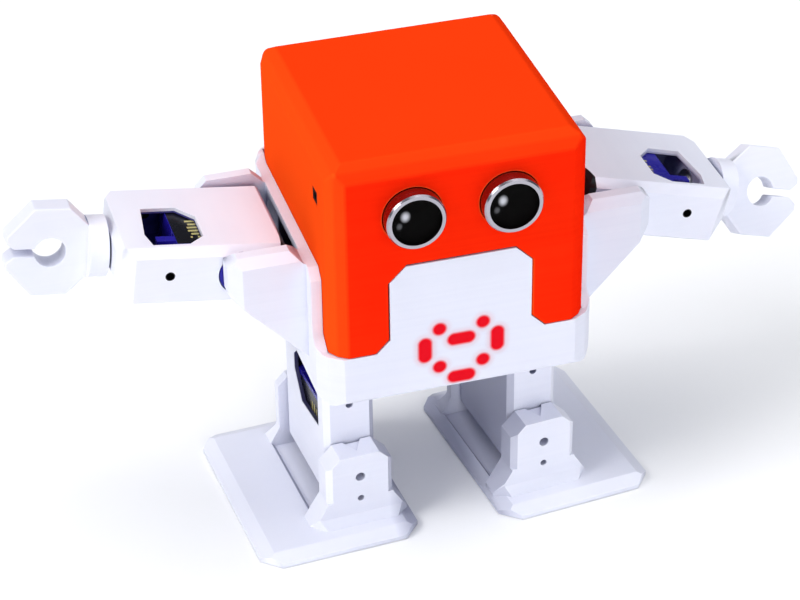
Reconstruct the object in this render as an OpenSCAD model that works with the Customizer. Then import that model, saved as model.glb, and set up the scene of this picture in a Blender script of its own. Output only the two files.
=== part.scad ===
// Two-legged toy robot with a sonar face, a glowing heart panel, two arms with
// C-shaped claws and six micro servos. Front is -Y, up is +Z, soles on z = 0.

/* [Pose] */
// left arm raise above level, degrees
raise_left = 8.25; // [-50:0.05:85]
// right arm raise above level, degrees
raise_right = -15.46; // [-50:0.02:85]
// left leg turn seen from above, degrees
yaw_left = 3.72; // [-12:0.02:12]
// right leg turn seen from above, degrees
yaw_right = 5.91; // [-12:0.01:12]
// left claw twist, front face up, degrees
twist_left = 3; // [-80:1:80]
// right claw twist, front face up, degrees
twist_right = 25; // [-80:1:80]

/* [Head] */
// head height to the top face
head_top = 125; // [123:0.5:128]
// head and chest bevel width
head_bevel = 4.4; // [3:0.1:5]
// printed wall thickness of the head
head_wall = 2.4; // [2:0.1:2.8]
// height of the sonar eyes
eye_z = 109; // [108.5:0.25:110]

/* [Torso] */
// vertical corner bevel of the torso
torso_bevel = 6.2; // [4:0.1:7]
// height of the side rims beside the head
rim_z = 90.8; // [90:0.1:91.5]
// height of the chest panel
chest_top = 93.7; // [92:0.1:93.8]

/* [Legs and feet] */
// thickness of the foot plate
foot_plate = 3; // [2.4:0.1:3]
// outer reach of the foot from the hip axis
foot_outer = 30.9; // [28:0.1:33]
// length of each foot in front of the ankle
foot_front = 31.7; // [30:0.1:33]
// length of each foot behind the ankle
foot_rear = 32.5; // [31:0.1:34]

/* [Arms] */
// arm shell length beyond the shoulder axis
arm_len = 32.8; // [32:0.1:34]
// claw hole diameter
claw_hole = 8.4; // [7.6:0.1:9.4]
// claw mouth slit width
claw_slit = 2.1; // [1.6:0.1:3]

/* [Hidden] */
$fn = 48;
body_y = 2.05;
hip_x = 26.3;
ankle_z = 18.3;
sh_x = 53.4;
sh_z = 85.75;
half_w = 38.1;
half_d = 36.85;
head_half = 35.1;
base_z = 52.8;
floor_z = 54.4;
ledge_z = 67.9;
chest_half = 19.4;
case_y = -11.1;
ear_y = -6.9;
arm_in = 12;
arm_v = 7.6;
arm_low = 8.2;
leg_x = 7.3;
leg_top = 52.2;
leg_foot = 5.6;
shell_rear = 19.7;
hand_y = 2.2;
pixel = 4;
heart = [[-6, 0], [6, 0], [-10, 1], [-2, 1], [2, 1], [10, 1], [-10, 2], [10, 2],
  [-6, 3], [6, 3], [-2, 4], [2, 4]];

c_white = "White";
c_orange = "OrangeRed";
c_blue = "MidnightBlue";
c_metal = "Silver";
c_nylon = "Ivory";
c_dark = "Black";

// ---- placing of the moving groups -------------------------------------------

module at_body() translate([0, body_y, 0]) children();

module flip(s) {
  if (s < 0) mirror([1, 0, 0]) children();
  else children();
}

module at_leg(s)
  translate([s * hip_x, body_y, 0])
    rotate([0, 0, s < 0 ? yaw_left : yaw_right])
      flip(s) children();

module at_arm(s)
  translate([s * sh_x, body_y, sh_z])
    rotate([0, s < 0 ? raise_left : -raise_right, 0])
      flip(s) children();

module at_hand(s)
  at_arm(s)
    translate([0, hand_y, 0])
      rotate([s < 0 ? -twist_left : -twist_right, 0, 0])
        children();

// ---- shared shapes ----------------------------------------------------------

// block from one corner to the opposite corner
module block(a, b) translate(a) cube(b - a);

// cylinder whose axis runs towards -Y, starting at y
module rod_y(r, y0, y1) translate([0, y1, 0]) rotate([90, 0, 0]) cylinder(r = r, h = y1 - y0);

// outline in X and Z pushed along Y
module slab_y(y0, y1, pts)
  translate([0, y1, 0]) rotate([90, 0, 0]) linear_extrude(y1 - y0) polygon(pts);

// outline in Y and Z pushed along X
module slab_x(x0, x1, pts)
  translate([x0, 0, 0]) rotate([90, 0, 90]) linear_extrude(x1 - x0) polygon(pts);

// rectangle outline with one bevel on every corner
function bevel_rect(x0, y0, x1, y1, b) =
  [[x0 + b, y0], [x1 - b, y0], [x1, y0 + b], [x1, y1 - b],
   [x1 - b, y1], [x0 + b, y1], [x0, y1 - b], [x0, y0 + b]];

// rectangle outline whose corners are cut in three facets, like a coarse radius
function facet_rect(x0, y0, x1, y1, b) =
  let (k = b * 0.4)
  [[x0 + b, y0], [x1 - b, y0], [x1 - k, y0 + b - k - k * 0.5], [x1, y0 + b], [x1, y1 - b],
   [x1 - k, y1 - b + k + k * 0.5], [x1 - b, y1], [x0 + b, y1],
   [x0 + k, y1 - b + k + k * 0.5], [x0, y1 - b], [x0, y0 + b], [x0 + k, y0 + b - k - k * 0.5]];

// pan-head screw: head on top of z = 0, shank below
module screw(shank_r, len, head_r, head_h) {
  translate([0, 0, -len]) cylinder(r = shank_r, h = len);
  difference() {
    cylinder(r = head_r, h = head_h);
    translate([-head_r * 0.62, -0.22, head_h * 0.45]) cube([head_r * 1.24, 0.44, head_h]);
    translate([-0.22, -head_r * 0.62, head_h * 0.45]) cube([0.44, head_r * 1.24, head_h]);
  }
}

// micro servo: shaft axis on Z, z = 0 at the case top, long axis along +X
module servo() color(c_blue) difference() {
  union() {
    block([-5.9, -5.9, -22.7], [16.3, 5.9, 0]);
    block([-10.9, -5.9, -6.7], [21.3, 5.9, -4.2]);
    cylinder(r = 5.9, h = 4);
  }
  translate([0, 0, -2.2]) cylinder(r = 2.4, h = 10);
  translate([-8.7, 0, -8]) cylinder(r = 1.05, h = 6);
  translate([19.1, 0, -8]) cylinder(r = 1.05, h = 6);
  block([-6, -6, -9.3], [-5.6, 6, -8.9]);
  block([16, -6, -9.3], [17, 6, -8.9]);
  block([-6, -6, -19.4], [-5.6, 6, -19]);
  block([16, -6, -19.4], [17, 6, -19]);
}

// servo output: splined shaft with the nylon horn pressed on it
module drive() color(c_nylon) difference() {
  union() {
    translate([0, 0, -2]) cylinder(r = 2.35, h = 9.2);
    translate([0, 0, 4.3]) cylinder(r = 3.5, h = 3);
    block([-9.3, -2, 5], [0, 2, 6.6]);
    translate([-9.3, 0, 5]) cylinder(r = 2, h = 1.6);
  }
  translate([0, 0, 2]) cylinder(r = 0.85, h = 6);
  translate([-7.3, 0, 4]) cylinder(r = 0.85, h = 3);
  translate([-9.5, 0, 4]) cylinder(r = 0.5, h = 3);
}

// pocket that swallows the horn, open towards the servo
module drive_pocket() {
  translate([0, 0, 1]) cylinder(r = 3.7, h = 6.5);
  block([-9.3, -2.2, 1], [0, 2.2, 6.8]);
  translate([-9.3, 0, 1]) cylinder(r = 2.2, h = 5.8);
}

// servo pose in an arm, long axis outwards, shaft towards the front
module arm_servo_pose() translate([0, case_y, 0]) rotate([90, 0, 0]) children();

// servo pose in a leg, long axis up, shaft towards the front
module leg_servo_pose()
  translate([0, case_y, ankle_z]) rotate([0, -90, 0]) rotate([90, 0, 0]) children();

// servo pose in the torso, long axis to the rear, shaft down
module hip_servo_pose(s)
  translate([s * hip_x, 0, 54.8]) rotate([0, 0, 90]) rotate([180, 0, 0]) children();

// ear screws of a servo standing in its shell
module ear_screws() for (x = [-8.7, 19.1])
  translate([x, 0, -6.7]) rotate([180, 0, 0]) screw(0.95, 6.6, 1.8, 1.3);

// ---- torso ------------------------------------------------------------------

function gusset_pts(tip) =
  [[head_half + 0.15, rim_z], [half_w + 0.4, rim_z], [half_w + 3.7, 94.1], [tip - 2.7, 94.1],
   [tip, 91.4], [tip, 83.2], [tip - 0.8, 82.2], [half_w, 61.6], [head_half + 0.15, 61.6]];

module gusset_front() intersection() {
  slab_y(-23.2, -15.4, gusset_pts(58.3));
  slab_x(30, 60, [[-23.2, 60], [-15.4, 60], [-15.4, 91.8], [-17.7, 94.1], [-20.8, 94.1],
    [-23.2, 91.7]]);
  translate([0, 0, 55]) linear_extrude(50)
    polygon([[30, -23.2], [54.9, -23.2], [58.3, -20.4], [58.3, -15.4], [30, -15.4]]);
}

module torso_outer() intersection() {
  translate([0, 0, base_z]) linear_extrude(45)
    polygon(facet_rect(-half_w, -half_d, half_w, half_d, torso_bevel));
  union() {
    slab_x(-half_w, half_w, [[-half_d + 1.5, base_z], [half_d - 1.5, base_z],
      [half_d, base_z + 1.5], [half_d, 93], [32.5, 93], [30, rim_z], [-25.1, rim_z],
      [-27.9, 88], [-27.9, 71.5], [-32.5, ledge_z], [-half_d, ledge_z],
      [-half_d, base_z + 1.5]]);
    block([-chest_half, -half_d, base_z + 5], [chest_half, -34, chest_top]);
  }
  slab_y(-half_d, half_d, [[-half_w + 1.5, base_z], [half_w - 1.5, base_z],
    [half_w, base_z + 1.5], [half_w, 98], [-half_w, 98], [-half_w, base_z + 1.5]]);
}

module torso_shell() color(c_white) at_body() difference() {
  union() {
    difference() {
      torso_outer();
      block([-35.25, -34.95, floor_z], [35.25, 33.9, 99]);
    }
    slab_y(-half_d, -34.95, [[-23.2, ledge_z - 1], [23.2, ledge_z - 1], [23.2, ledge_z],
      [chest_half, ledge_z + 3.8], [-chest_half, ledge_z + 3.8], [-23.2, ledge_z]]);
    intersection() {
      torso_outer();
      for (s = [-1, 1]) {
        block([s < 0 ? -36 : 24, -36, floor_z - 0.5], [s < 0 ? -24 : 36, -23.9, ledge_z]);
      }
    }
    for (s = [-1, 1]) flip(s) {
      gusset_front();
      slab_y(20.1, 23.1, gusset_pts(57));
      block([chest_half, -35.4, floor_z - 0.5], [24.2, -32.6, ledge_z]);
      for (y = [-10.9, 16.7]) block([20.4, y, floor_z - 0.5], [32.2, y + 4.6, 59]);
    }
    block([-35.7, -21, 75.4], [35.7, -17.5, 78.5]);
    block([-35.7, 24.2, 75.4], [35.7, 27.5, 78.5]);
    block([-8, 30.2, 66.2], [8, 34.2, 67.6]);
  }
  // chest panel corners
  for (s = [-1, 1]) flip(s)
    slab_y(-38, -34, [[chest_half - 4.4, chest_top + 1], [chest_half - 4.4, chest_top],
      [chest_half + 0.1, chest_top - 4.4], [chest_half + 2, chest_top - 4.4],
      [chest_half + 2, chest_top + 1]]);
  // hip servo domes and ear screws, shoulder cable openings, horn pockets
  for (s = [-1, 1]) flip(s) {
    translate([hip_x, 0, 50]) cylinder(r = 6.2, h = 6);
    for (y = [-8.7, 19.1]) translate([hip_x, y, 54]) cylinder(r = 0.95, h = 6);
    slab_x(33, 40, bevel_rect(-13.5, 71.5, 18.2, 88.3, 3));
    translate([sh_x, 0, sh_z]) arm_servo_pose() drive_pocket();
    translate([sh_x, 0, sh_z]) rod_y(1.52, 19, 24);
  }
  // switch recess and slot in the rear wall
  block([-8, 35.3, 68.4], [8, 38, 77]);
  block([-4, 33, 71], [4, 36, 74.4]);
}

// ---- head -------------------------------------------------------------------

module head_outer(g) intersection() {
  translate([0, 0, ledge_z - 1]) linear_extrude(70)
    polygon(facet_rect(-head_half + g, -half_d + g, head_half - g, half_d - g, head_bevel));
  slab_y(-half_d, half_d, facet_rect(-head_half + g, 20, head_half - g, head_top - g,
    head_bevel));
  slab_x(-head_half, head_half, facet_rect(-half_d + g, 20, half_d - g, head_top - g,
    head_bevel));
}

module head_shell() color(c_orange) at_body() difference() {
  union() {
    difference() {
      intersection() {
        head_outer(0);
        union() {
          block([-50, -50, rim_z + 0.1], [50, 33.7, 130]);
          block([-50, 33, 93.1], [50, 50, 130]);
          block([-50, -50, ledge_z + 0.05], [50, -28, 100]);
          block([-head_half, -28.1, ledge_z + 0.05], [head_half, -24.1, 100]);
          block([-head_half, -24.2, 88.4], [head_half, 33.8, 100]);
        }
      }
      head_outer(head_wall);
    }
    for (s = [-1, 1]) flip(s) {
      for (y = [-17, 27]) translate([24, y, 112.2]) cylinder(r = 3, h = 11);
      block([30, 24, 108], [33.2, 27, 120]);
    }
  }
  // chest opening with bevelled corners, pillar toes
  slab_y(-40, -24, [[-19.6, 60], [-19.6 - 3.8, 60], [-19.6 - 3.8, ledge_z],
    [-19.6, ledge_z + 3.8], [-19.6, 89.4], [-15.1, 93.9], [15.1, 93.9], [19.6, 89.4],
    [19.6, ledge_z + 3.8], [19.6 + 3.8, ledge_z], [19.6 + 3.8, 60]]);
  // eye holes
  for (s = [-1, 1]) translate([s * 13, 0, eye_z]) rod_y(8.2, -40, -30);
  // socket hole in the left side
  block([-36, -25.2, 108.6], [-32, -20.4, 112.6]);
  // board screw holes
  for (s = [-1, 1]) flip(s)
    for (y = [-17, 27]) translate([24, y, 111]) cylinder(r = 1.1, h = 8);
}

// ---- face and chest electronics ---------------------------------------------

module sonar_board() color("DarkSlateBlue") at_body() difference() {
  union() {
    block([-22.5, -28.9, eye_z - 10], [22.5, -27.3, eye_z + 10]);
    block([-5.5, -27.3, eye_z - 8.5], [5.5, -24.8, eye_z - 6]);
    block([-18, -27.3, eye_z - 4], [-9, -25.8, eye_z + 2]);
    block([8, -27.3, eye_z - 4], [17, -25.8, eye_z + 2]);
    translate([0, 0, eye_z + 6]) block([-4.5, -32.4, -1.8], [4.5, -28.9, 1.8]);
  }
  for (x = [-21, 21], z = [eye_z - 8.4, eye_z + 8.4]) translate([x, 0, z]) rod_y(0.8, -30, -26);
}

module sonar_can(s) color(c_metal) at_body() translate([s * 13, -40.95, eye_z])
  rotate([-90, 0, 0]) rotate_extrude()
    polygon([[6.7, 0], [7.6, 0], [8, 0.5], [8, 12.05], [0, 12.05], [0, 11.2], [7.1, 11.2],
      [7.1, 1.1], [6.7, 0.7]]);

module sonar_mesh(s) color(c_dark) at_body() translate([s * 13, -40.95, eye_z])
  rotate([-90, 0, 0]) translate([0, 0, 1.15]) cylinder(r = 7.05, h = 0.35);

module sonar_cones() color("DimGray") at_body() for (s = [-1, 1])
  translate([s * 13, -40.95, eye_z]) rotate([-90, 0, 0]) rotate_extrude()
    polygon([[0, 5.4], [1.2, 4.4], [5.2, 2.1], [5.5, 2.3], [5.5, 11.15], [0, 11.15]]);

module led_matrix() color(c_white) at_body() difference() {
  block([-16, -34.9, floor_z + 0.1], [16, -26.9, floor_z + 32.1]);
  for (p = heart) translate([p[0], 0, floor_z + 18.1 - p[1] * pixel]) rod_y(1.55, -36, -34.5);
}

module led_heart() color("Red") at_body() for (p = heart)
  translate([p[0], 0, floor_z + 18.1 - p[1] * pixel]) rod_y(1.5, -34.9, -34.5);

module led_driver() color("DarkGreen") at_body() {
  block([-16, -26.9, floor_z + 0.1], [16, -25.3, floor_z + 36]);
  block([-10, -25.3, floor_z + 6], [-2, -23.4, floor_z + 24]);
}

module servo_shield() color("DarkSlateBlue") at_body() difference() {
  union() {
    block([-28.5, -20, 110.5], [28.5, 30, 112.1]);
    for (k = [0:6]) block([-24 + 6 * k, -12, 104.4], [-21.2 + 6 * k, -3, 110.5]);
    block([-26, 10, 102.5], [-16, 22, 110.5]);
  }
  for (x = [-24, 24], y = [-17, 27]) translate([x, y, 110]) cylinder(r = 1.3, h = 3);
}

module controller_board() color("Teal") at_body() {
  block([-12, 5, 103.6], [6, 28, 105.2]);
  block([-11.4, 6, 105.2], [-9, 27, 110.4]);
  block([3, 6, 105.2], [5.4, 27, 110.4]);
  block([-6.5, 24, 101], [0.5, 28.8, 103.6]);
  block([-6, 12, 102.4], [0, 18, 103.6]);
}

module board_screws() color(c_metal) at_body() for (x = [-24, 24], y = [-17, 27])
  translate([x, y, 110.4]) rotate([180, 0, 0]) screw(1.05, 6, 2.2, 1.6);

module buzzer() color(c_dark) at_body() translate([17, 16, 101.9]) difference() {
  cylinder(r = 6, h = 8.5);
  translate([0, 0, -1]) cylinder(r = 1.2, h = 3);
}

// programming socket glued behind the hole in the head's left side
module side_socket() color(c_dark) at_body() difference() {
  union() {
    block([-34.8, -25.1, 108.7], [-31, -20.5, 112.5]);
    block([-32.65, -26.6, 107.2], [-31, -19, 114]);
  }
  block([-36, -23.5, 109.7], [-33.2, -22.1, 111.5]);
}

module battery_holder() color(c_dark) at_body() difference() {
  block([-31, -21, 78.6], [31, 31.2, 90.8]);
  for (k = [-1.5:1.5]) translate([k * 15, 0, 87.1]) rod_y(7.35, -19.4, 31.2 - 1.6);
  for (k = [-1.5:1.5]) block([k * 15 - 5.4, -19.4, 87], [k * 15 + 5.4, 29.6, 92]);
}

module battery_cells() color("SteelBlue") at_body() for (k = [-1.5:1.5])
  translate([k * 15, 0, 87.1]) {
    rod_y(7.1, -18.6, 28.9);
    rod_y(2.7, -19.3, -18.6);
  }

module switch_body() color(c_dark) at_body() difference() {
  block([-7, 30.3, 67.7], [7, 33.8, 77]);
  block([-3.6, 32.2, 71.2], [3.6, 34, 74.2]);
}

module switch_lever() color(c_dark) at_body() translate([-1.8, 0, 0]) {
  block([-1.6, 32.4, 71.5], [1.6, 36.5, 73.9]);
  block([-1.6, 36.5, 71.9], [-0.9, 36.75, 73.5]);
  block([-0.35, 36.5, 71.9], [0.35, 36.75, 73.5]);
  block([0.9, 36.5, 71.9], [1.6, 36.75, 73.5]);
}

// ---- hips and legs ----------------------------------------------------------

module hip_servo(s) at_body() hip_servo_pose(s) servo();

module hip_screws() color(c_metal) at_body() for (s = [-1, 1])
  hip_servo_pose(s) for (x = [-8.7, 19.1]) translate([x, 0, -6.7])
    rotate([180, 0, 0]) screw(0.9, 6, 1.8, 1.3);

module hip_drive(s) at_leg(s) translate([0, 0, 54.8]) rotate([0, 0, 90])
  rotate([180, 0, 0]) drive();

module leg_shell(s) color(c_white) at_leg(s) difference() {
  intersection() {
    translate([0, 0, leg_foot]) linear_extrude(leg_top - leg_foot)
      polygon(bevel_rect(-leg_x, -15.2, leg_x, shell_rear, 1.6));
    slab_y(-16, 20, bevel_rect(-leg_x, leg_foot, leg_x, leg_top + 2, 1.8));
  }
  block([-6.05, case_y - 0.1, 12.2], [6.05, 17.2, 34.8]);
  block([-6.05, ear_y, 7.2], [6.05, 17.2, 44.5]);
  translate([0, 0, ankle_z]) rod_y(6.15, -16, case_y);
  for (z = [-8.7, 19.1]) translate([0, 0, ankle_z + z]) rod_y(1.05, -16, ear_y + 1);
  translate([0, 0, ankle_z]) rod_y(1.56, 16, 20);
  translate([0, 0, 54.8]) rotate([0, 0, 90]) rotate([180, 0, 0]) drive_pocket();
  translate([0, 0, 50.5]) cylinder(r = 6.2, h = 3);
  // servo window in the outer side
  slab_x(5, 9, [[-9.6, ankle_z + 10], [5.2, ankle_z + 8.6], [11, ankle_z + 16.4],
    [11, ankle_z + 21.4], [6.6, ankle_z + 25.6], [-5.4, ankle_z + 25.6],
    [-9.6, ankle_z + 21.4]]);
}

module ankle_servo(s) at_leg(s) leg_servo_pose() servo();

module ankle_ear_screws(s) color(c_metal) at_leg(s) leg_servo_pose() ear_screws();

// sloped rim of the foot plate along one straight edge
module rim_cut(a, d) rotate([0, 0, a]) rotate([90, 0, 0])
  linear_extrude(160, center = true)
    polygon([[d - 3.7, foot_plate], [d + 2, foot_plate - 2.75], [d + 2, foot_plate + 1],
      [d - 3.7, foot_plate + 1]]);

module foot_base() {
  hx = (foot_outer + 15.3) / 2;
  hy = (foot_front + foot_rear) / 2;
  translate([foot_outer - hx, foot_rear - hy, 0]) difference() {
    linear_extrude(foot_plate) polygon(bevel_rect(-hx, -hy, hx, hy, 5));
    for (a = [0, 180]) rim_cut(a, hx);
    for (a = [90, 270]) rim_cut(a, hy);
    for (a = [45:90:315]) rim_cut(a, (hx + hy - 5) / sqrt(2));
  }
}

module foot_uprights() {
  intersection() {
    slab_y(-25, -15.6, [[-14.4, 1.8], [14.4, 1.8], [14.4, 3], [9.65, 10.6], [9.65, 21.5],
      [5.65, 25.5], [-5.65, 25.5], [-9.65, 21.5], [-9.65, 10.6], [-14.4, 3]]);
    slab_x(-15, 15, [[-24.8, 1.8], [-15.6, 1.8], [-15.6, 26], [-23.2, 26], [-23.2, 6],
      [-24.8, 3]]);
    linear_extrude(30) polygon([[-14.4, -15.6], [-14.4, -20.6], [-10.4, -24.8],
      [10.4, -24.8], [14.4, -20.6], [14.4, -15.6]]);
  }
  intersection() {
    slab_y(20.1, 26, [[-12.6, 1.8], [12.6, 1.8], [12.6, 3], [9.65, 8], [9.65, 22.5],
      [6.65, 25.5], [-6.65, 25.5], [-9.65, 22.5], [-9.65, 8], [-12.6, 3]]);
    slab_x(-15, 15, [[20.1, 1.8], [25.6, 1.8], [25.6, 3], [23.1, 7], [23.1, 26],
      [20.1, 26]]);
  }
}

module foot(s) color(c_white) at_leg(s) difference() {
  union() {
    foot_base();
    foot_uprights();
  }
  // shallow well under the leg
  slab_y(-15.6, 20.1, [[-12.4, foot_plate + 0.1], [-11.3, foot_plate - 1.1],
    [11.3, foot_plate - 1.1], [12.4, foot_plate + 0.1]]);
  leg_servo_pose() drive_pocket();
  translate([0, 0, ankle_z]) rod_y(1.4, -24, -18);
  translate([0, 0, ankle_z - 7.3]) rod_y(0.95, -24, -17);
  translate([0, 0, ankle_z]) rod_y(1.52, 19, 24);
  // shallow notch in the top of the front upright
  translate([0, 0, 24.7]) linear_extrude(4)
    polygon([[0, -20.6], [2.9, -15], [-2.9, -15]]);
  for (c = [-1, 1]) translate([c * 9.65, -23.2, 3]) rotate([0, 0, 45])
    translate([-1.1, -1.1, 8]) cube([2.2, 2.2, 30]);
}

module ankle_drive(s) at_leg(s) leg_servo_pose() drive();

module ankle_screws(s) color(c_metal) at_leg(s) leg_servo_pose() {
  translate([0, 0, 7.4]) screw(0.8, 5, 1.3, 1);
  translate([-7.3, 0, 8.8]) screw(0.8, 4.2, 0.85, 0.4);
}

// pivot pin seen from behind: head outside the rear plate, tip in the shell
module pivot_pin(tip) color(c_metal) translate([0, 23.15, 0]) rotate([-90, 0, 0]) {
  translate([0, 0, tip - 23.15]) cylinder(r = 1.5, h = 23.15 - tip);
  difference() {
    cylinder(r = 2.7, h = 1.5);
    translate([-1.7, -0.25, 0.7]) cube([3.4, 0.5, 2]);
    translate([-0.25, -1.7, 0.7]) cube([0.5, 3.4, 2]);
  }
}

module ankle_pin(s) at_leg(s) translate([0, 0, ankle_z]) pivot_pin(17.3);

// ---- shoulders and arms -----------------------------------------------------

module shoulder_drive(s) at_body() flip(s) translate([sh_x, 0, sh_z])
  arm_servo_pose() drive();

module shoulder_pin(s) at_body() flip(s) translate([sh_x, 0, sh_z]) pivot_pin(17.3);

module arm_shell(s) color(c_white) at_arm(s) difference() {
  intersection() {
    translate([0, 0, -10]) linear_extrude(20)
      polygon([[-arm_in, -15], [arm_len - 4.4, -15], [arm_len, -10.6], [arm_len, 6],
        [arm_len - 1.4, 13.5], [arm_len - 5.2, shell_rear], [-arm_in, shell_rear]]);
    slab_x(-13, 36, [[-15, -arm_low + 0.6], [-14.4, -arm_low], [shell_rear - 2.3, -arm_low],
      [shell_rear, -arm_low + 2.3], [shell_rear, arm_v - 2.3], [shell_rear - 2.3, arm_v],
      [-12.7, arm_v], [-15, arm_v - 2.3]]);
    slab_y(-16, 20, [[-arm_in, -arm_low + 1.2], [-arm_in + 1.2, -arm_low],
      [arm_len - 4.6, -arm_low], [arm_len, -3.2], [arm_len, arm_v - 1.8],
      [arm_len - 1.8, arm_v], [-arm_in + 1.2, arm_v], [-arm_in, arm_v - 1.2]]);
  }
  block([-6.1, case_y - 0.1, -6.05], [16.5, 17.2, 6.05]);
  block([-13, ear_y, -6.05], [25.6, 17.2, 6.05]);
  rod_y(6.15, -16, case_y);
  translate([19.1, 0, 0]) rod_y(1.1, -16, ear_y + 1);
  rod_y(1.56, 16, 20);
  // window in the top
  translate([0, 0, 4]) linear_extrude(5)
    polygon([[9.3, -7.6], [13.6, -11.4], [23.4, -11.4], [24.6, -6], [23, 7.2], [13.8, 7.4],
      [9.3, 2.4]]);
  // wrist bore and the recess around the claw collar
  translate([20, hand_y, 0]) rotate([0, 90, 0]) cylinder(r = 3.05, h = 20);
}

module shoulder_servo(s) at_arm(s) arm_servo_pose() servo();

module arm_ear_screws(s) color(c_metal) at_arm(s) arm_servo_pose()
  translate([19.1, 0, -6.7]) rotate([180, 0, 0]) screw(0.95, 6.6, 1.8, 1.3);

module claw(s) color(c_white) at_hand(s) {
  difference() {
    union() {
      rotate([90, 0, 0]) linear_extrude(6, center = true)
        polygon([[37.6, -7], [43.2, -12.65], [52.6, -12.65], [59.6, -4.6], [59.6, 4.6],
          [52.6, 12.65], [43.2, 12.65], [37.6, 7]]);
      translate([arm_len + 0.5, 0, 0]) rotate([0, 90, 0]) cylinder(r = 8.2, h = 4.9);
      translate([25.8, 0, 0]) rotate([0, 90, 0]) cylinder(r = 3, h = 9);
    }
    translate([48, 0, 0]) rod_y(claw_hole / 2, -5, 5);
    block([48, -5, -claw_slit / 2], [63, 5, claw_slit / 2]);
    for (q = [0, 1]) mirror([0, 0, q]) slab_y(-5, 5, [[57.4, claw_slit / 2 - 0.1],
      [60.4, claw_slit / 2 + 2.4], [60.4, claw_slit / 2 - 0.1]]);
    translate([24, 0, 0]) rotate([0, 90, 0]) cylinder(r = 1.1, h = 9);
  }
}

module wrist_screw(s) color(c_metal) at_hand(s) {
  translate([25.7, 0, 0]) rotate([0, -90, 0]) screw(1.05, 7, 2.6, 1.9);
  translate([25.05, 0, 0]) rotate([0, 90, 0]) difference() {
    cylinder(r = 4.3, h = 0.5);
    translate([0, 0, -1]) cylinder(r = 2.6, h = 3);
  }
}

// ---- choice of piece --------------------------------------------------------

torso_shell();
head_shell();
sonar_board();
sonar_can(-1);  // sonar_can_L
sonar_can(1);  // sonar_can_R
sonar_mesh(-1);  // sonar_mesh_L
sonar_mesh(1);  // sonar_mesh_R
sonar_cones();
led_matrix();
led_driver();
led_heart();
controller_board();
servo_shield();
board_screws();
buzzer();
side_socket();
battery_holder();
battery_cells();
switch_body();
switch_lever();
hip_servo(-1);  // hip_servo_L
hip_servo(1);  // hip_servo_R
hip_screws();
hip_drive(-1);  // hip_drive_L
hip_drive(1);  // hip_drive_R
leg_shell(-1);  // leg_shell_L
leg_shell(1);  // leg_shell_R
ankle_servo(-1);  // ankle_servo_L
ankle_servo(1);  // ankle_servo_R
ankle_ear_screws(-1);  // ankle_ear_screws_L
ankle_ear_screws(1);  // ankle_ear_screws_R
foot(-1);  // foot_L
foot(1);  // foot_R
ankle_drive(-1);  // ankle_drive_L
ankle_drive(1);  // ankle_drive_R
ankle_screws(-1);  // ankle_screws_L
ankle_screws(1);  // ankle_screws_R
ankle_pin(-1);  // ankle_pin_L
ankle_pin(1);  // ankle_pin_R
shoulder_drive(-1);  // shoulder_drive_L
shoulder_drive(1);  // shoulder_drive_R
shoulder_pin(-1);  // shoulder_pin_L
shoulder_pin(1);  // shoulder_pin_R
arm_shell(-1);  // arm_shell_L
arm_shell(1);  // arm_shell_R
shoulder_servo(-1);  // shoulder_servo_L
shoulder_servo(1);  // shoulder_servo_R
arm_ear_screws(-1);  // arm_ear_screws_L
arm_ear_screws(1);  // arm_ear_screws_R
claw(-1);  // claw_L
claw(1);  // claw_R
wrist_screw(-1);  // wrist_screw_L
wrist_screw(1);  // wrist_screw_R
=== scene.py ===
import math

import bpy
from mathutils import Matrix, Vector


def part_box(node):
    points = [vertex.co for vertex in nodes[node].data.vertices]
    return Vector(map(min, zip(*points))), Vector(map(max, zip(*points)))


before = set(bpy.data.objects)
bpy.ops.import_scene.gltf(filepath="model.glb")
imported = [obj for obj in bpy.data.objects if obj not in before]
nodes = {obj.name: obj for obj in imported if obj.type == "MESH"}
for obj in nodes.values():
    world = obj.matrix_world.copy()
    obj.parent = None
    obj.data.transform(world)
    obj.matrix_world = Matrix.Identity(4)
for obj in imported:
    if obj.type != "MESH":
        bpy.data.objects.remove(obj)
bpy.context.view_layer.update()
scene = bpy.context.scene

MM = 0.001

# rest pose in degrees: how far each arm is raised and each leg is turned
ARM_TILT = {"L": 8.25, "R": -15.46}
LEG_TURN = {"L": 3.72, "R": 5.91}
# step along X that leads away from the body's middle
OUTWARD = {"L": -1.0, "R": 1.0}
# from a servo's shaft to its far ear screw
EAR_SCREW = 19.1 * MM


def middle(node):
    """Centre of a node's box at rest."""
    lo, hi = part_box(node)
    return [(a + b) / 2 for a, b in zip(lo, hi)]


BODY_Y = middle("head_shell")[1]


# ---- material helpers -------------------------------------------------------

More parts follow.
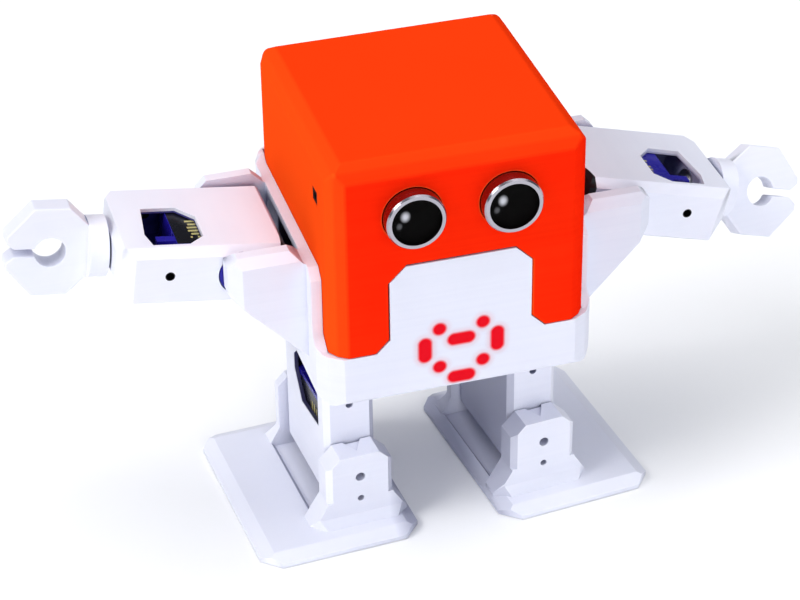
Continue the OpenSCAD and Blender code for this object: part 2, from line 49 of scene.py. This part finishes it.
class Nodes:
    """Short way to write a node tree."""

    def __init__(self, tree):
        self.tree = tree

    def add(self, kind, inputs=None, **settings):
        n = self.tree.nodes.new(kind)
        for k, v in settings.items():
            setattr(n, k, v)
        for k, v in (inputs or {}).items():
            self.put(n.inputs[k], v)
        return n

    def put(self, socket, value):
        if isinstance(value, bpy.types.NodeSocket):
            self.tree.links.new(value, socket)
        else:
            socket.default_value = value

    def math(self, op, a, b=0.0, clamp=False):
        n = self.add("ShaderNodeMath", {0: a, 1: b}, operation=op)
        n.use_clamp = clamp
        return n.outputs[0]

    def smooth_least(self, a, b, blend):
        n = self.add("ShaderNodeMath", {0: a, 1: b, 2: blend}, operation="SMOOTH_MIN")
        return n.outputs[0]

    def product(self, *factors):
        out = factors[0]
        for f in factors[1:]:
            out = self.math("MULTIPLY", out, f)
        return out

    def distance(self, a, b):
        """Length of the flat vector (a, b)."""
        squares = self.math("ADD", self.product(a, a), self.product(b, b))
        return self.math("SQRT", squares)

    def inside(self, a, lo, hi):
        """1 where a lies between lo and hi, with a hard edge."""
        return self.product(self.math("GREATER_THAN", a, lo), self.math("LESS_THAN", a, hi))

    def band(self, a, lo, hi, soft=0.1 * MM):
        """1 where a lies between lo and hi, with a soft edge."""
        up = self.math("DIVIDE", self.math("SUBTRACT", a, lo), soft, clamp=True)
        down = self.math("DIVIDE", self.math("SUBTRACT", hi, a), soft, clamp=True)
        return self.product(up, down)

    def ramp(self, fac, stops, mode="LINEAR"):
        n = self.add("ShaderNodeValToRGB", {"Fac": fac})
        n.color_ramp.interpolation = mode
        e = n.color_ramp.elements
        for el, (pos, v) in zip(e, stops):
            el.position = pos
            el.color = (v, v, v, 1)
        return n.outputs["Color"]

    def mix(self, fac, a, b):
        n = self.add("ShaderNodeMix", data_type="RGBA")
        for name, v in ((0, fac), (6, a), (7, b)):
            self.put(n.inputs[name], v)
        return n.outputs[2]

    def coords(self, turn=(0, 0, 0), scale=(1, 1, 1)):
        c = self.add("ShaderNodeTexCoord").outputs["Object"]
        return self.add("ShaderNodeMapping", {"Vector": c, "Rotation": turn, "Scale": scale}).outputs[0]

    def place(self, centre=(0, 0, 0)):
        """The piece's own coordinates, measured from a centre."""
        c = self.add("ShaderNodeTexCoord").outputs["Object"]
        return self.add("ShaderNodeVectorMath", {0: c, 1: centre}, operation="SUBTRACT").outputs[0]

    def normal(self):
        return self.add("ShaderNodeNewGeometry").outputs["Normal"]

    def dot(self, a, b):
        n = self.add("ShaderNodeVectorMath", {0: a, 1: b}, operation="DOT_PRODUCT")
        return n.outputs["Value"]

    def axis(self, vec, i):
        return self.add("ShaderNodeSeparateXYZ", {0: vec}).outputs[i]

    def noise(self, vec, scale, detail=3.0, rough=0.55):
        return self.add("ShaderNodeTexNoise", {"Vector": vec, "Scale": scale, "Detail": detail,
                                               "Roughness": rough}).outputs["Fac"]

    def bump(self, height, strength, distance, normal=None):
        n = self.add("ShaderNodeBump", {"Height": height, "Strength": strength, "Distance": distance})
        if normal is not None:
            self.put(n.inputs["Normal"], normal)
        return n.outputs[0]


def material(name):
    m = bpy.data.materials.new(name)
    m.use_nodes = True
    t = Nodes(m.node_tree)
    t.tree.nodes.clear()
    out = t.add("ShaderNodeOutputMaterial")
    bsdf = t.add("ShaderNodeBsdfPrincipled")
    t.tree.links.new(bsdf.outputs[0], out.inputs[0])
    return m, t, bsdf


def reopen(m):
    """Node writer, shader and base colour of a finished material."""
    shader = next(n for n in m.node_tree.nodes if n.type == "BSDF_PRINCIPLED")
    return Nodes(m.node_tree), shader, shader.inputs["Base Color"].links[0].from_socket


def rgb(r, g, b):
    return (r, g, b, 1.0)


def paler(colour, gain, lift):
    return tuple(min(1, c * gain + lift) for c in colour[:3]) + (1,)


# outer edge mask: on the prints it carries a painted highlight along the edges, on moulded parts it makes
# sharp edges paler
def edge_wear_and_highlight(t, dist=0.9 * MM):
    """1 on sharp outer edges, 0 on flat faces."""
    rounded = t.add("ShaderNodeBevel", {"Radius": dist}, samples=4).outputs[0]
    return t.math("SUBTRACT", 1.0, t.dot(rounded, t.normal()), clamp=True)


def printed(name, base, deep, rough, turn=(0, 0, 0), sss=0.0, spec=0.5, lines=1.0, edge_col=None,
            edge_amount=0.35, corner_shade=None):
    """Layered filament: fine layer bands on the sides, raster tracks on the flats."""
    m, t, b = material(name)
    plain = t.coords(turn)
    bands = t.noise(t.coords(turn, (9, 9, 900)), 1.0, 2.0, 0.6)
    fine = t.noise(t.coords(turn, (14, 14, 2600)), 1.0, 1.0)
    diagonal = (turn[0], turn[1], turn[2] + math.pi / 4)
    tracks = t.noise(t.coords(diagonal, (1500, 12, 12)), 1.0, 1.0)
    cloud = t.noise(plain, 38.0, 4.0)
    grain = t.noise(plain, 900.0, 2.0)
    tone = t.math("ADD", t.product(cloud, 0.65), t.product(bands, 0.35))
    col = t.mix(t.ramp(tone, [(0.35, 0.0), (0.65, 1.0)]), deep, base)
    # painted highlight: outer edges are mixed to a paler colour, standing in for light caught by the
    # rounded edges
    edge = t.math("MULTIPLY", edge_wear_and_highlight(t), edge_amount, clamp=True)
    col = t.mix(edge, col, edge_col or paler(base, 1.12, 0.02))
    if corner_shade:
        # painted shade: deep corners and places under the body, found by ambient occlusion, are mixed to
        # a darker colour
        ao = t.add("ShaderNodeAmbientOcclusion", {"Distance": 30 * MM}, samples=6).outputs["AO"]
        col = t.mix(t.ramp(ao, [(0.04, 0.0), (0.36, 1.0)]), corner_shade, col)
    t.put(b.inputs["Base Color"], col)
    uneven = t.product(t.math("ADD", bands, cloud), 0.06)
    t.put(b.inputs["Roughness"], t.math("ADD", rough - 0.06, uneven))
    b.inputs["Specular IOR Level"].default_value = spec
    b.inputs["IOR"].default_value = 1.46
    if sss:
        b.inputs["Subsurface Weight"].default_value = sss
        b.inputs["Subsurface Radius"].default_value = (1.6 * MM, 1.4 * MM, 1.3 * MM)
        b.inputs["Subsurface Scale"].default_value = 1.0
    n = t.bump(bands, 0.35 * lines, 0.12 * MM)
    n = t.bump(fine, 0.25 * lines, 0.05 * MM, n)
    n = t.bump(tracks, 0.22 * lines, 0.05 * MM, n)
    t.put(b.inputs["Normal"], t.bump(grain, 0.08, 0.03 * MM, n))
    return m


def moulded(name, base, deep, rough, spec=0.5, coat=0.0, bump=0.15, metal=0.0):
    """Smooth moulded or sprayed surface with faint texture, scuffs and paler sharp edges."""
    m, t, b = material(name)
    v = t.coords()
    cloud = t.noise(v, 75.0)
    grain = t.noise(v, 1500.0, 2.0)
    scratches = t.noise(t.coords((0.4, 0.9, 0.3), (260, 2200, 500)), 1.0, 2.0)
    scuff = t.ramp(scratches, [(0.62, 0.0), (0.72, 1.0)])
    pale_edges = t.math("MULTIPLY", edge_wear_and_highlight(t, 0.3 * MM), 0.5, clamp=True)
    t.put(b.inputs["Base Color"], t.mix(pale_edges, t.mix(cloud, deep, base), paler(base, 1.6, 0.05)))
    uneven = t.product(t.math("ADD", cloud, scuff), 0.07)
    t.put(b.inputs["Roughness"], t.math("ADD", rough, uneven))
    b.inputs["Metallic"].default_value = metal
    b.inputs["Specular IOR Level"].default_value = spec
    b.inputs["Coat Weight"].default_value = coat
    t.put(b.inputs["Normal"], t.bump(grain, bump, 0.03 * MM))
    return m


# ---- printed shells ---------------------------------------------------------

WHITE, WHITE_DEEP = rgb(0.825, 0.835, 0.93), rgb(0.79, 0.80, 0.905)
# painted shade: the chest's white is a slightly darker copy of the white print, holding back the brightly
# lit chest front
CHEST, CHEST_DEEP = rgb(0.78, 0.79, 0.885), rgb(0.745, 0.755, 0.86)
# painted shade for deep corners and under the body: on most prints, and lighter on the feet
CORNER_SHADE, FOOT_CORNER_SHADE = rgb(0.20, 0.22, 0.38), rgb(0.50, 0.51, 0.64)
NEAR_BLACK = rgb(0.003, 0.003, 0.005)


def white_print(name, base=WHITE, deep=WHITE_DEEP, rough=0.42, spec=0.35, corner_shade=CORNER_SHADE, turn=(0, 0, 0)):
    return printed(name, base, deep, rough, turn=turn, sss=0.12, spec=spec, lines=0.5, corner_shade=corner_shade)


def orange_print():
    """Saturated orange-red print: warm tinted sheen, upper and left-hand faces painted paler as painted
    light, and a painted highlight on the edges.
    """
    # painted highlight: a strong pale orange along the rounded edges
    m = printed("orange_print", rgb(1.0, 0.024, 0.003), rgb(0.95, 0.017, 0.002), 0.42, spec=0.0,
                lines=0.45, edge_col=rgb(1.0, 0.15, 0.03), edge_amount=1.6)
    t, b, base = reopen(m)
    # painted light: faces turned up and to the left get a paler orange, for the light falling from the
    # upper left
    n = t.normal()
    up = t.math("MAXIMUM", t.axis(n, 2), 0.0)
    left = t.math("MAXIMUM", t.product(t.axis(n, 0), -1.0), 0.0)
    col = t.mix(t.product(up, 0.75), base, rgb(1.0, 0.058, 0.005))
    col = t.mix(t.product(left, 0.85), col, rgb(1.0, 0.092, 0.008))
    t.put(b.inputs["Base Color"], col)
    b.inputs["Metallic"].default_value = 0.12
    b.inputs["Specular Tint"].default_value = rgb(1.0, 0.3, 0.08)
    return m


# strokes of the heart: both ends as (millimetres across, rows down); a lone dot has equal ends
HEART_STROKES = [((-6, 0), (-6, 0)), ((6, 0), (6, 0)), ((-10, 1), (-10, 2)), ((10, 1), (10, 2)),
                 ((-2, 1), (2, 1)), ((-6, 3), (-6, 3)), ((6, 3), (6, 3)), ((-2, 4), (2, 4))]
DOT_PITCH = 4 * MM
DOT_RADIUS = 1.5 * MM


def chest_print():
    """White print whose chest glows softly red where the lit dots shine through."""
    m = white_print("white_print_chest", CHEST, CHEST_DEEP, rough=0.45, spec=0.06)
    t, b, base = reopen(m)
    here = t.place()
    x, y, z = (t.axis(here, i) for i in range(3))
    top_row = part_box("led_heart")[1][2] - DOT_RADIUS
    away = None
    for (ax, arow), (bx, brow) in HEART_STROKES:
        # distance from the point to the stroke's segment in X and Z
        x0, z0 = ax * MM, top_row - arow * DOT_PITCH
        dx, dz = (bx - ax) * MM, (arow - brow) * DOT_PITCH
        square = max(dx * dx + dz * dz, 1e-12)
        px, pz = t.math("SUBTRACT", x, x0), t.math("SUBTRACT", z, z0)
        share = t.math("ADD", t.product(px, dx), t.product(pz, dz))
        share = t.math("DIVIDE", share, square, clamp=True)
        ex = t.math("SUBTRACT", px, t.product(share, dx))
        ez = t.math("SUBTRACT", pz, t.product(share, dz))
        d = t.distance(ex, ez)
        away = d if away is None else t.smooth_least(away, d, 0.4 * MM)
    y_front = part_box("torso_shell")[0][1]
    depth = t.math("DIVIDE", t.math("SUBTRACT", y, y_front), 4 * MM)
    front = t.ramp(depth, [(0.0, 1.0), (0.2, 0.0)])
    core = t.ramp(t.math("DIVIDE", away, 4 * MM), [(0.36, 1.0), (0.66, 0.0)], "EASE")
    halo = t.ramp(t.math("DIVIDE", away, 8 * MM), [(0.2, 1.0), (0.50, 0.0)], "EASE")
    mask = t.product(core, front)
    soft = t.product(halo, front, 0.22)
    t.put(b.inputs["Base Color"], t.mix(t.math("MAXIMUM", mask, soft), base, rgb(0.70, 0.001, 0.009)))
    t.put(b.inputs["Emission Color"], rgb(0.9, 0.01, 0.03))
    t.put(b.inputs["Emission Strength"], t.product(mask, 0.10))
    return m


def arm_frame(side):
    """Shoulder axis point and the direction along the arm."""
    pin = middle("shoulder_pin_" + side)
    tilt = math.radians(ARM_TILT[side])
    return (pin[0], BODY_Y, pin[2]), (OUTWARD[side] * math.cos(tilt), 0.0, math.sin(tilt))


# painted light and shade inside an arm's shell, a dark blue for the servo's glow: colour and amount
ARM_INSIDE = {"L": (rgb(0.008, 0.004, 0.19), 0.93), "R": (rgb(0.014, 0.008, 0.30), 0.30)}
SCREW_HOLE = 1.3 * MM


def arm_print(side):
    """White print with painted blue light and shade inside the shell, and a painted-dark inner mouth and
    screw hole standing in for shade.
    """
    turn = math.radians(abs(ARM_TILT[side]))
    m = white_print("white_print_arm_" + side, turn=(0, -turn, 0))
    t, b, base = reopen(m)
    centre, along = arm_frame(side)
    upward = (-OUTWARD[side] * along[2], 0.0, abs(along[0]))
    v = t.place(centre)
    across, out, depth = t.dot(v, upward), t.dot(v, along), t.axis(v, 1)
    # painted light and shade: the hollow inside the shell is mixed to the servo's dark blue
    hollow = t.product(t.inside(across, -6.6 * MM, 6.6 * MM), t.math("LESS_THAN", out, 25.7 * MM),
                       t.inside(depth, -12.1 * MM, 17.4 * MM))
    colour, amount = ARM_INSIDE[side]
    col = t.mix(t.product(hollow, amount), base, colour)
    # painted shade: the inner end's mouth and the screw hole are painted near-black, standing in for the
    # dark of an opening
    # the mouth's rim slants away from the front face
    slant = t.product(t.math("ADD", depth, 14.9 * MM), 0.14)
    mouth = t.math("LESS_THAN", t.math("ADD", out, slant), -10.05 * MM)
    to_screw = t.distance(t.math("SUBTRACT", out, EAR_SCREW), across)
    hole = t.math("LESS_THAN", to_screw, SCREW_HOLE)
    t.put(b.inputs["Base Color"], t.mix(t.math("MAXIMUM", mouth, hole), col, NEAR_BLACK))
    return m


def shade_flank(m, side, amount, reach):
    """Inner flanks of legs and feet sit in the robot's own shade."""
    t, b, base = reopen(m)
    facing_in = t.math("MULTIPLY", t.axis(t.normal(), 0), -OUTWARD[side], clamp=True)
    x = t.product(t.axis(t.place(), 0), OUTWARD[side])
    near = t.ramp(t.math("DIVIDE", x, 30 * MM), [(reach, 1.0), (reach + 0.16, 0.0)])
    mask = t.math("MULTIPLY", t.math("MAXIMUM", facing_in, near), amount, clamp=True)
    t.put(b.inputs["Base Color"], t.mix(mask, base, rgb(0.07, 0.08, 0.20)))


def foot_print(side):
    m = white_print("white_print_foot_" + side, corner_shade=FOOT_CORNER_SHADE)
    shade_flank(m, side, 0.5, 0.40)
    return m


def leg_frame(side):
    """Ankle axis point and the direction from the front to the back of the leg."""
    turn = math.radians(LEG_TURN[side])
    x, z = middle("hip_drive_" + side)[0], middle("ankle_pin_" + side)[2]
    return (x, BODY_Y, z), (-math.sin(turn), math.cos(turn), 0.0)


def leg_print(side):
    """White print whose servo pocket is painted dark with the servo's blue, as painted shade."""
    m = white_print("white_print_leg_" + side)
    t, b, base = reopen(m)
    centre, rearward = leg_frame(side)
    v = t.place(centre)
    across, depth = t.dot(v, (rearward[1], -rearward[0], 0.0)), t.dot(v, rearward)
    # painted shade: the servo pocket is mixed to a dark blue
    pocket = t.product(t.inside(across, -7.1 * MM, 7.1 * MM), t.inside(depth, -12.3 * MM, 17.3 * MM),
                       t.inside(t.axis(v, 2), -11.5 * MM, 26.5 * MM))
    t.put(b.inputs["Base Color"], t.mix(t.product(pocket, 0.95), base, rgb(0.010, 0.007, 0.07)))
    shade_flank(m, side, 0.55, 0.0)
    return m


# ---- bought-in parts --------------------------------------------------------

def can_metal():
    """Drawn metal can: bright turned rim, and darker warm sides that are a painted reflection of the
    orange head.
    """
    m = moulded("can_metal", rgb(0.50, 0.49, 0.54), rgb(0.38, 0.37, 0.42), 0.20, metal=1.0, bump=0.2)
    t, b, base = reopen(m)
    # painted reflection: faces turned sideways are mixed to a dark warm colour
    rim = t.ramp(t.math("ABSOLUTE", t.axis(t.normal(), 1)), [(0.25, 0.0), (0.7, 1.0)])
    t.put(b.inputs["Base Color"], t.mix(rim, rgb(0.27, 0.13, 0.15), base))
    return m


# painted highlights, glints of the inner cone painted on the screen: X and Z from the eye's centre,
# radius and amount
GLINTS = [(-2.8 * MM, 1.6 * MM, 1.6 * MM, 0.95), (-4.4 * MM, -1.0 * MM, 1.1 * MM, 0.16)]
MESH_PITCH = 0.62 * MM


def mesh_grid():
    """Fine woven screen: black wires with open holes between them."""
    m, t, b = material("mesh_black")
    here = t.coords()
    x, z = t.axis(here, 0), t.axis(here, 2)
    turns = 2 * math.pi / MESH_PITCH
    hole = t.product(t.math("COSINE", t.product(x, turns)), t.math("COSINE", t.product(z, turns)))
    wires = t.ramp(t.math("ABSOLUTE", hole), [(0.25, 1.0), (0.5, 0.0)])
    n = t.noise(here, 2500.0)
    col = t.mix(n, rgb(0.0006, 0.0005, 0.0005), rgb(0.0016, 0.0013, 0.0013))
    # painted highlights: pale glints of the inner cone, painted into the screen's colour
    for side in "LR":
        eye = middle("sonar_mesh_" + side)
        for dx, dz, size, amount in GLINTS:
            px = t.math("SUBTRACT", x, eye[0] + dx)
            pz = t.product(t.math("SUBTRACT", z, eye[2] + dz), 0.8)
            away = t.math("DIVIDE", t.distance(px, pz), size)
            spot = t.ramp(away, [(0.15, 1.0), (1.0, 0.0)], "EASE")
            col = t.mix(t.product(spot, amount), col, rgb(0.72, 0.73, 0.78))
    t.put(b.inputs["Base Color"], col)
    t.put(b.inputs["Roughness"], t.math("ADD", 0.42, t.product(n, 0.2)))
    b.inputs["Specular IOR Level"].default_value = 0.04
    t.put(b.inputs["Alpha"], t.math("ADD", 0.86, t.product(wires, 0.14)))
    t.put(b.inputs["Normal"], t.bump(wires, 0.5, 0.1 * MM))
    return m


def heart_lamp():
    """Red lit dots behind the chest panel."""
    m, t, b = material("led_red")
    n = t.noise(t.coords(), 900.0)
    t.put(b.inputs["Base Color"], t.mix(n, rgb(0.7, 0.0, 0.01), rgb(0.95, 0.02, 0.03)))
    t.put(b.inputs["Roughness"], t.math("ADD", 0.2, t.product(n, 0.1)))
    b.inputs["Emission Color"].default_value = rgb(1.0, 0.02, 0.03)
    b.inputs["Emission Strength"].default_value = 3.0
    return m


def servo_blue(name):
    """Deep blue glossy servo case."""
    return moulded(name, rgb(0.016, 0.010, 0.36), rgb(0.010, 0.006, 0.20), 0.24, 0.25, coat=0.08)


# bars on a servo label: columns and rows in each metre
BAR_COLUMNS, BAR_ROWS = 1400.0, 620.0


def labelled_servo(name, centre, along, across, span, marks):
    """Servo case with a black label; span and marks are where the label and its bars lie."""
    m = servo_blue(name)
    t, b, base = reopen(m)
    v = t.place(centre)
    u, w = t.dot(v, along), t.dot(v, across)
    label = t.product(t.band(u, *span), t.band(w, -8.5 * MM, 9.5 * MM))
    column = t.math("FLOOR", t.product(u, BAR_COLUMNS))
    row = t.math("FLOOR", t.product(w, BAR_ROWS))
    cell = t.add("ShaderNodeCombineXYZ", {0: column, 1: row}).outputs[0]
    chance = t.add("ShaderNodeTexWhiteNoise", {"Vector": cell}, noise_dimensions="2D").outputs["Value"]
    in_row = t.math("GREATER_THAN", t.math("FRACT", t.product(w, BAR_ROWS)), 0.45)
    bars = t.product(t.math("GREATER_THAN", chance, 0.38), in_row,
                     t.band(u, *marks[:2]), t.band(w, *marks[2:]))
    col = t.mix(label, base, rgb(0.003, 0.003, 0.006))
    t.put(b.inputs["Base Color"], t.mix(bars, col, rgb(0.44, 0.39, 0.16)))
    return m


def arm_servo(side):
    label_end = {"L": 16.2 * MM, "R": 9.8 * MM}[side]
    centre, along = arm_frame(side)
    return labelled_servo("servo_blue_arm_" + side, centre, along, (0, 1, 0),
                          (-4.0 * MM, label_end), (6.6 * MM, 12.0 * MM, -5.8 * MM, 3.4 * MM))


def leg_servo(side):
    centre, rearward = leg_frame(side)
    return labelled_servo("servo_blue_leg_" + side, centre, (0, 0, 1), rearward,
                          (-4.0 * MM, 15.0 * MM), (8.5 * MM, 12.0 * MM, -5.0 * MM, 1.0 * MM))


# ---- which node wears what --------------------------------------------------

def shared_finishes():
    """Finishes of the nodes on the body's middle."""
    black = moulded("black_plastic", rgb(0.02, 0.02, 0.022), rgb(0.012, 0.012, 0.013), 0.38)
    board_blue = moulded("board_blue", rgb(0.01, 0.05, 0.22), rgb(0.006, 0.03, 0.14), 0.28, coat=0.4)
    board_teal = moulded("board_teal", rgb(0.0, 0.16, 0.2), rgb(0.0, 0.1, 0.13), 0.28, coat=0.4)
    board_green = moulded("board_green", rgb(0.01, 0.16, 0.05), rgb(0.006, 0.1, 0.03), 0.28, coat=0.4)
    steel = moulded("steel", rgb(0.6, 0.6, 0.62), rgb(0.45, 0.45, 0.47), 0.25, metal=1.0, bump=0.25)
    return {
        "torso_shell": chest_print(),
        "head_shell": orange_print(),
        "side_socket": moulded("socket_black", rgb(0.004, 0.004, 0.004), rgb(0.002, 0.002, 0.002), 0.6,
                               spec=0.03),
        "sonar_board": board_blue,
        "sonar_cones": moulded("cone_grey", rgb(0.05, 0.05, 0.055), rgb(0.025, 0.025, 0.03), 0.3),
        "led_matrix": moulded("led_block", rgb(0.8, 0.8, 0.82), rgb(0.7, 0.7, 0.72), 0.35),
        "led_driver": board_green,
        "led_heart": heart_lamp(),
        "controller_board": board_teal,
        "servo_shield": board_blue,
        "board_screws": steel,
        "hip_screws": steel,
        "buzzer": black,
        "battery_holder": black,
        "battery_cells": moulded("cell_wrap", rgb(0.08, 0.2, 0.42), rgb(0.05, 0.13, 0.3), 0.22, coat=0.5),
        "switch_body": black,
        "switch_lever": black,
    }


def paired_finishes(steel, black):
    """Finishes of the nodes that come left and right."""
    can, screen, hip_blue = can_metal(), mesh_grid(), servo_blue("servo_blue")
    nylon = moulded("nylon", rgb(0.82, 0.80, 0.74), rgb(0.74, 0.72, 0.66), 0.4)
    zinc = moulded("zinc", rgb(0.95, 0.95, 0.97), rgb(0.88, 0.88, 0.92), 0.5)
    out = {}
    for side in "LR":
        arm_white = arm_print(side)
        pair = {
            "sonar_can": can, "sonar_mesh": screen, "hip_servo": hip_blue,
            "ankle_servo": leg_servo(side), "shoulder_servo": arm_servo(side),
            "hip_drive": nylon, "ankle_drive": nylon, "shoulder_drive": nylon,
            "leg_shell": leg_print(side), "foot": foot_print(side),
            "arm_shell": arm_white, "claw": arm_white,
            "ankle_ear_screws": zinc, "ankle_screws": zinc, "ankle_pin": zinc,
            "shoulder_pin": steel, "wrist_screw": steel, "arm_ear_screws": black,
        }
        out.update({f"{name}_{side}": m for name, m in pair.items()})
    return out


finish = shared_finishes()
finish.update(paired_finishes(finish["board_screws"], finish["buzzer"]))
for name, obj in nodes.items():
    obj.data.materials.clear()
    obj.data.materials.append(finish[name])


# ---- softened edges ---------------------------------------------------------

# edges shorter than this, such as the facets of a hole's rim, stay crisp
SHORTEST_SOFT = 1.6 * MM
FLAT_TURN, SHARP_TURN = math.radians(14), math.radians(24)
# the mesh repeats its vertices at every face, so places are compared on this grid
GRID = 0.0005 * MM


def faces_by_edge(me):
    """Normals and centres of the faces on each side of an edge, found by place."""
    key = [tuple(round(c / GRID) for c in v.co) for v in me.vertices]
    beside = {}
    for f in me.polygons:
        ring = [key[v] for v in f.vertices]
        for a, b in zip(ring, ring[1:] + ring[:1]):
            beside.setdefault(frozenset((a, b)), []).append((f.normal.copy(), f.center.copy()))
    return key, beside


def edge_weights(me, share):
    """Bevel weight and sharpness of each edge: only long outer edges are rounded."""
    key, beside = faces_by_edge(me)
    weight, sharp = [], []
    for e in me.edges:
        va, vb = (me.vertices[v].co for v in e.vertices)
        pair = beside.get(frozenset((key[e.vertices[0]], key[e.vertices[1]])), [])
        w, hard = 0.0, False
        if len(pair) == 2:
            (n1, c1), (n2, c2) = pair
            turn = n1.angle(n2, 0.0)
            if turn > FLAT_TURN:
                outer = (c2 - c1).dot(n1) < 0
                if outer and (vb - va).length > SHORTEST_SOFT:
                    w = share((va + vb) / 2)
                hard = w == 0.0 and turn > SHARP_TURN
        weight.append(w)
        sharp.append(hard)
    return weight, sharp


def store(me, name, kind, values):
    layer = me.attributes.get(name) or me.attributes.new(name, kind, "EDGE")
    layer.data.foreach_set("value", values)


def soften(name, width, share=lambda place: 1.0):
    """Rounds a node's long outer edges; share is the part of the width used at a place."""
    o = nodes[name]
    weight, sharp = edge_weights(o.data, share)
    store(o.data, "bevel_weight_edge", "FLOAT", weight)
    store(o.data, "sharp_edge", "BOOLEAN", sharp)
    for p in o.data.polygons:
        p.use_smooth = True
    weld = o.modifiers.new("join_faces", "WELD")
    weld.merge_threshold = 0.001 * MM
    flat = o.modifiers.new("flat_faces", "DECIMATE")
    flat.decimate_type = "DISSOLVE"
    flat.angle_limit = math.radians(0.4)
    b = o.modifiers.new("soft_edges", "BEVEL")
    b.limit_method = "WEIGHT"
    b.width = width
    b.segments = 3
    b.use_clamp_overlap = True
    b.harden_normals = False
    n = o.modifiers.new("even_normals", "WEIGHTED_NORMAL")
    n.keep_sharp = True


def torso_share(place):
    """Shoulder plates are rounder than the rest of the body."""
    return 1.0 if abs(place.x) > 40 * MM else 0.5


def foot_share(place):
    """Uprights and rim are round, the sole edge stays tight."""
    return 0.15 if place.z < 0.6 * MM else 1.0


soften("torso_shell", 1.6 * MM, torso_share)
soften("head_shell", 0.9 * MM)
for side in "LR":
    soften("arm_shell_" + side, 1.0 * MM)
    soften("claw_" + side, 0.8 * MM)
    soften("foot_" + side, 2.4 * MM, foot_share)
    soften("leg_shell_" + side, 0.9 * MM)
    for servo in ("hip_servo_", "ankle_servo_", "shoulder_servo_"):
        soften(servo + side, 0.3 * MM)


# ---- stage, light and camera ------------------------------------------------

def floor():
    """Pale paper, just below the soles."""
    bpy.ops.mesh.primitive_plane_add(size=4, location=(0, 0, -0.2 * MM))
    o = bpy.context.object
    o.name = "stage_floor"
    m, t, b = material("stage_paper")
    n = t.noise(t.coords(), 60.0)
    t.put(b.inputs["Base Color"], t.mix(n, rgb(0.955, 0.955, 0.96), rgb(0.975, 0.975, 0.98)))
    t.put(b.inputs["Roughness"], t.math("ADD", 0.7, t.product(n, 0.1)))
    b.inputs["Specular IOR Level"].default_value = 0.2
    o.data.materials.append(m)


def sun(name, towards, strength, spread, colour=(1, 1, 1)):
    """Large far-away softbox; towards points from the part to the light."""
    d = bpy.data.lights.new(name, "SUN")
    d.energy = strength
    d.angle = math.radians(spread)
    d.color = colour
    o = bpy.data.objects.new(name, d)
    scene.collection.objects.link(o)
    o.rotation_mode = "QUATERNION"
    o.rotation_quaternion = (-Vector(towards)).to_track_quat("-Z", "Y")


def lights():
    """Key from the left, three soft fronts and fills, a broad top, and a dim cool sky."""
    sun("key", (-0.78, -0.15, 0.61), 1.90, 30)
    sun("front_low", (-0.04, -0.985, 0.16), 0.84, 26, (0.94, 0.96, 1))
    sun("front_mid", (0.10, -0.80, 0.59), 0.42, 34, (0.95, 0.97, 1))
    sun("fill", (0.50, -0.20, 0.84), 0.50, 44, (0.96, 0.98, 1))
    sun("top", (0.05, 0.10, 0.99), 1.25, 50)
    world = bpy.data.worlds.new("studio")
    world.use_nodes = True
    sky = world.node_tree.nodes["Background"]
    sky.inputs["Color"].default_value = (0.80, 0.86, 1.0, 1)
    sky.inputs["Strength"].default_value = 0.16
    scene.world = world
    scene.view_settings.view_transform = "Standard"


# the camera looks down at the robot from its front left
AZIMUTH, ELEVATION, ROLL = (math.radians(v) for v in (-16.131, 33.555, -0.848))
TARGET = Vector((-10.869 * MM, -14.7 * MM, 69.96 * MM))
DISTANCE = 714.11 * MM


def camera():
    """Camera at a distance from its target, rolled about the line of sight."""
    back = Vector((math.sin(AZIMUTH) * math.cos(ELEVATION), -math.cos(AZIMUTH) * math.cos(ELEVATION),
                   math.sin(ELEVATION)))
    level = (-back).cross(Vector((0, 0, 1))).normalized()
    upright = level.cross(-back)
    right = level * math.cos(ROLL) + upright * math.sin(ROLL)
    up = upright * math.cos(ROLL) - level * math.sin(ROLL)
    d = bpy.data.cameras.new("camera")
    d.lens = 119.83
    d.sensor_width = 36
    d.clip_start, d.clip_end = 0.01, 20
    o = bpy.data.objects.new("camera", d)
    scene.collection.objects.link(o)
    place = TARGET + back * DISTANCE
    o.matrix_world = Matrix((
        (right.x, up.x, back.x, place.x), (right.y, up.y, back.y, place.y),
        (right.z, up.z, back.z, place.z), (0, 0, 0, 1)))
    scene.camera = o


floor()
lights()
camera()
